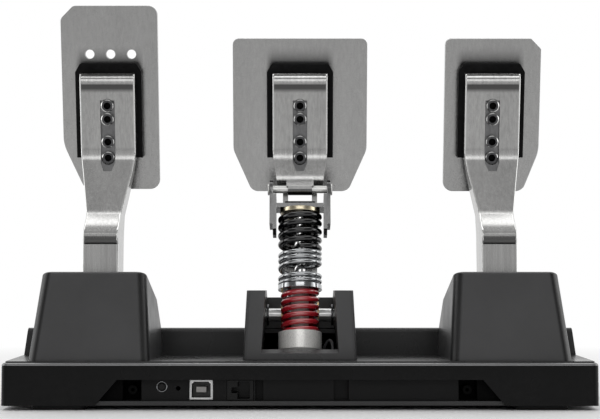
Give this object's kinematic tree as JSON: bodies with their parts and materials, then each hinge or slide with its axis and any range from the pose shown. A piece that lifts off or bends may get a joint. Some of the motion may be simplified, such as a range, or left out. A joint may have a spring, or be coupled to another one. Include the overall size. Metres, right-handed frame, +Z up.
{
  "type": "sim racing pedal set",
  "caption": "Floor-standing pedal set for racing simulators: ribbed footrest base, hooded throttle and clutch arms, and a central brake with a stacked-spring strut",
  "frame": {"origin": "middle of the underside, on the floor under the centre of the base", "axes": "+X driver's right (throttle side), +Y away from the driver (rear face with the sockets), +Z up"},
  "size_m": [0.344, 0.27, 0.2411],
  "materials": {
    "black_paint": "gloss powder coat",
    "black_screw_steel": "black oxide",
    "black_steel": "powder coat",
    "block_plastic": "moulded",
    "board_green": "solder mask",
    "brass_tone": "machined",
    "brushed_aluminium": "brushed lengthwise",
    "cable_black": "smooth sheath",
    "charcoal_plastic": "moulded, satin",
    "magnet_nickel": "plated",
    "plate_aluminium": "bead blasted and anodised",
    "polished_steel": "polished",
    "red_paint": "gloss powder coat",
    "rubber_black": "moulded",
    "satin_black_plastic": "moulded, fine grain",
    "screw_steel": "machined",
    "silver_paint": "bright zinc",
    "socket_plastic": "moulded"
  },
  "bodies": {
    "base": {"base_plate": "black_steel", "base_screws": "black_screw_steel", "bracket_screws": "black_screw_steel", "rubber_feet": "rubber_black", "base_tray": "satin_black_plastic", "top_cover": "satin_black_plastic", "connector_panel": "satin_black_plastic", "usb_shell": "polished_steel", "usb_insulator": "socket_plastic", "accessory_socket": "socket_plastic", "main_board": "board_green", "amplifier_board": "board_green", "board_posts": "satin_black_plastic", "throttle_hood": "satin_black_plastic", "clutch_hood": "satin_black_plastic", "brake_housing": "charcoal_plastic", "throttle_bracket": "black_steel", "clutch_bracket": "black_steel", "brake_bracket": "black_steel", "pivot_shafts": "polished_steel", "shaft_clips": "screw_steel", "sensor_boards": "board_green", "load_cell": "brushed_aluminium", "load_cell_bolts": "screw_steel", "foot_yoke": "black_steel", "foot_pin": "polished_steel", "load_cell_wire": "cable_black", "throttle_return_spring": "screw_steel", "clutch_return_spring": "screw_steel"},
    "throttle": {"throttle_arm": "brushed_aluminium", "throttle_bushes": "brass_tone", "throttle_arm_screws": "screw_steel", "throttle_plate_screws": "black_screw_steel", "throttle_head_block": "block_plastic", "throttle_plate": "plate_aluminium", "throttle_magnet": "magnet_nickel"},
    "clutch": {"clutch_arm": "brushed_aluminium", "clutch_bushes": "brass_tone", "clutch_arm_screws": "screw_steel", "clutch_plate_screws": "black_screw_steel", "clutch_head_block": "block_plastic", "clutch_plate": "plate_aluminium", "clutch_magnet": "magnet_nickel"},
    "brake": {"brake_arm": "brushed_aluminium", "brake_bushes": "brass_tone", "brake_arm_screws": "screw_steel", "brake_plate_screws": "black_screw_steel", "brake_head_block": "block_plastic", "brake_plate": "plate_aluminium", "clevis_pin": "polished_steel"},
    "strut_lower": {"strut_cup": "screw_steel", "red_spring": "red_paint", "silver_spring": "silver_paint", "black_spring": "black_paint"},
    "strut_collar": {"lower_collar": "screw_steel"},
    "strut_upper": {"plunger_rod": "polished_steel", "strut_flange": "brass_tone", "strut_clevis": "plate_aluminium", "bump_stop": "rubber_black"},
    "key": {"service_key": "charcoal_plastic"}
  },
  "joints": [
    {"name": "throttle_hinge", "type": "hinge", "parent": "base", "child": "throttle", "pos_m": [0.117, 0.089, 0.048], "axis": [-1, 0, 0], "range_deg": [0, 20], "stiffness_Nm_per_rad": 4, "springref_deg": -8.59, "deforming": ["throttle_return_spring"]},
    {"name": "clutch_hinge", "type": "hinge", "parent": "base", "child": "clutch", "pos_m": [-0.117, 0.089, 0.048], "axis": [-1, 0, 0], "range_deg": [0, 20], "stiffness_Nm_per_rad": 6, "springref_deg": -8.59, "deforming": ["clutch_return_spring"]},
    {"name": "brake_hinge", "type": "hinge", "parent": "base", "child": "brake", "pos_m": [0, 0.065, 0.052], "axis": [-1, 0, 0], "range_deg": [0, 12], "stiffness_Nm_per_rad": 30, "springref_deg": -4.58},
    {"name": "strut_swing", "type": "hinge", "parent": "base", "child": "strut_lower", "pos_m": [0, 0.0994, 0.0262], "axis": [-1, 0, 0], "range_deg": [0, 8.5]},
    {"name": "strut_stroke", "type": "slide", "parent": "strut_lower", "child": "strut_upper", "axis": [0, 0.2024, -0.9793], "range_m": [0, 0.0064], "deforming": ["red_spring", "silver_spring", "black_spring"]},
    {"name": "collar_stroke", "type": "slide", "parent": "strut_lower", "child": "strut_collar", "axis": [0, 0.2024, -0.9793], "range_m": [0, 0.0027]},
    {"name": "key_press", "type": "slide", "parent": "base", "child": "key", "axis": [0, -1, 0], "range_m": [0, 0.0008], "stiffness_N_per_m": 400, "springref_m": -0.0005}
  ],
  "couplings": [
    {"joint": "strut_swing", "follows": "brake_hinge", "ratio": 0.69926},
    {"joint": "strut_stroke", "follows": "brake_hinge", "m_per_rad": 0.030336},
    {"joint": "collar_stroke", "follows": "brake_hinge", "m_per_rad": 0.012758}
  ]
}
